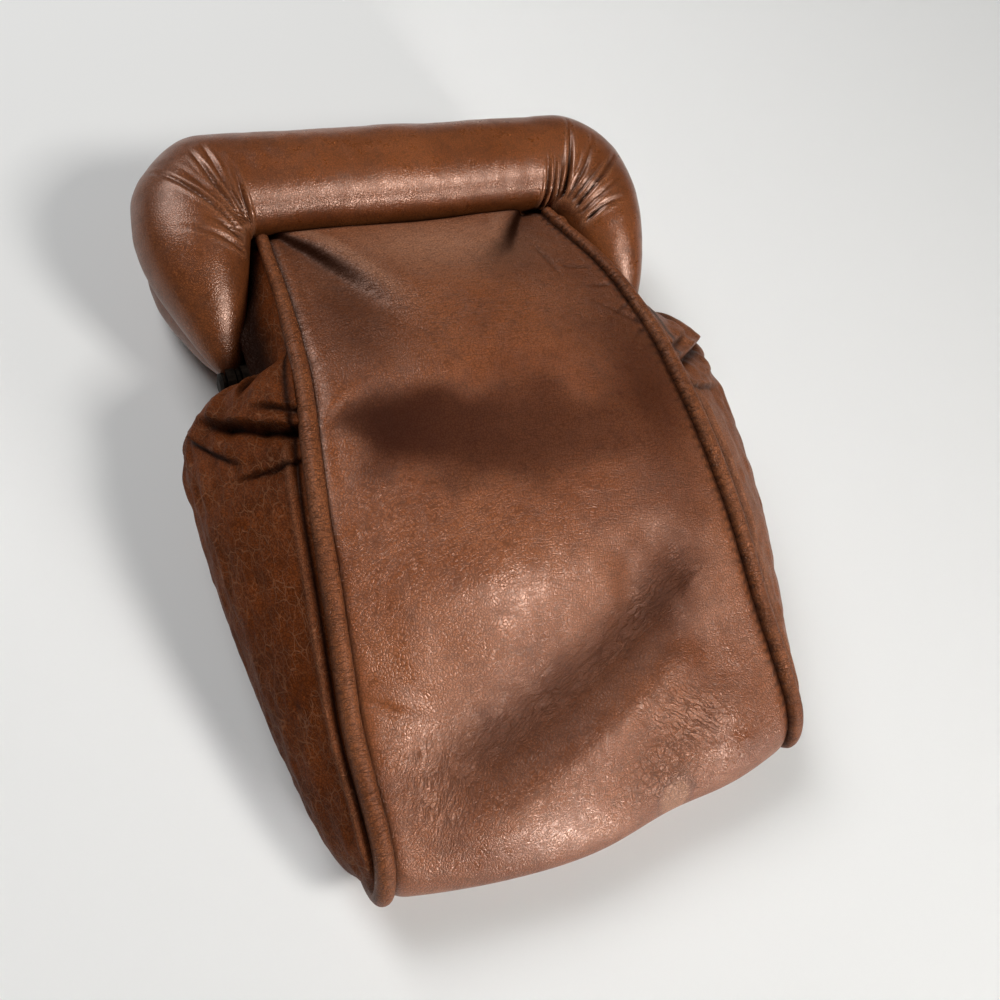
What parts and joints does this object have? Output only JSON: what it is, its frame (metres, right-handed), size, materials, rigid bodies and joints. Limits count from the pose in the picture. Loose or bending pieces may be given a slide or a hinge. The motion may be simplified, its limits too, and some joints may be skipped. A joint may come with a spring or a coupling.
{
  "type": "leather frame pouch",
  "caption": "Gusseted leather pouch lying on its back, with piped side seams and a padded, leather-covered U-shaped frame that hinges open at its mouth to take small things.",
  "frame": {"origin": "centre of the footprint, on the flat back panel's underside, where the pouch lies", "axes": "+X across the pouch to the right, +Y from the bottom fold to the padded frame, +Z out of the front panel"},
  "size_m": [0.1048, 0.138, 0.0346],
  "materials": {
    "body_leather": "worn semi-gloss grained leather",
    "gusset_leather": "crinkled semi-gloss leather",
    "piping_leather": "semi-gloss leather over cord",
    "roll_leather": "smooth polished leather",
    "lining_cloth": "matt woven cloth",
    "foam": "matt foam",
    "frame_steel": "browned steel",
    "magnet": "plain"
  },
  "bodies": {
    "pouch": {"body_panel": "body_leather", "gusset_left": "gusset_leather", "gusset_right": "gusset_leather", "gusset_left_rear_wing": "gusset_leather", "gusset_right_rear_wing": "gusset_leather", "piping_left": "piping_leather", "piping_right": "piping_leather", "lining_wrap": "lining_cloth", "lining_side_left": "lining_cloth", "lining_side_right": "lining_cloth", "rear_bow": "frame_steel", "rear_padding": "foam", "rear_roll_cover": "roll_leather", "rear_keeper": "magnet", "hinge_rivet_left": "frame_steel", "hinge_rivet_right": "frame_steel", "hinge_washer_left": "frame_steel", "hinge_washer_right": "frame_steel"},
    "front_frame": {"front_panel_upper": "body_leather", "lining_front_upper": "lining_cloth", "piping_left_upper": "piping_leather", "piping_right_upper": "piping_leather", "gusset_left_front_wing": "gusset_leather", "gusset_right_front_wing": "gusset_leather", "front_bow": "frame_steel", "front_padding": "foam", "front_roll_cover": "roll_leather", "front_magnet": "magnet"}
  },
  "joints": [
    {"name": "frame_hinge", "type": "hinge", "parent": "pouch", "child": "front_frame", "pos_m": [0, 0.02454, 0.015], "axis": [1, 0, 0], "range_deg": [0, 60], "deforming": ["front_panel_upper", "lining_front_upper", "piping_left_upper", "piping_right_upper", "gusset_left_front_wing", "gusset_right_front_wing"]}
  ]
}
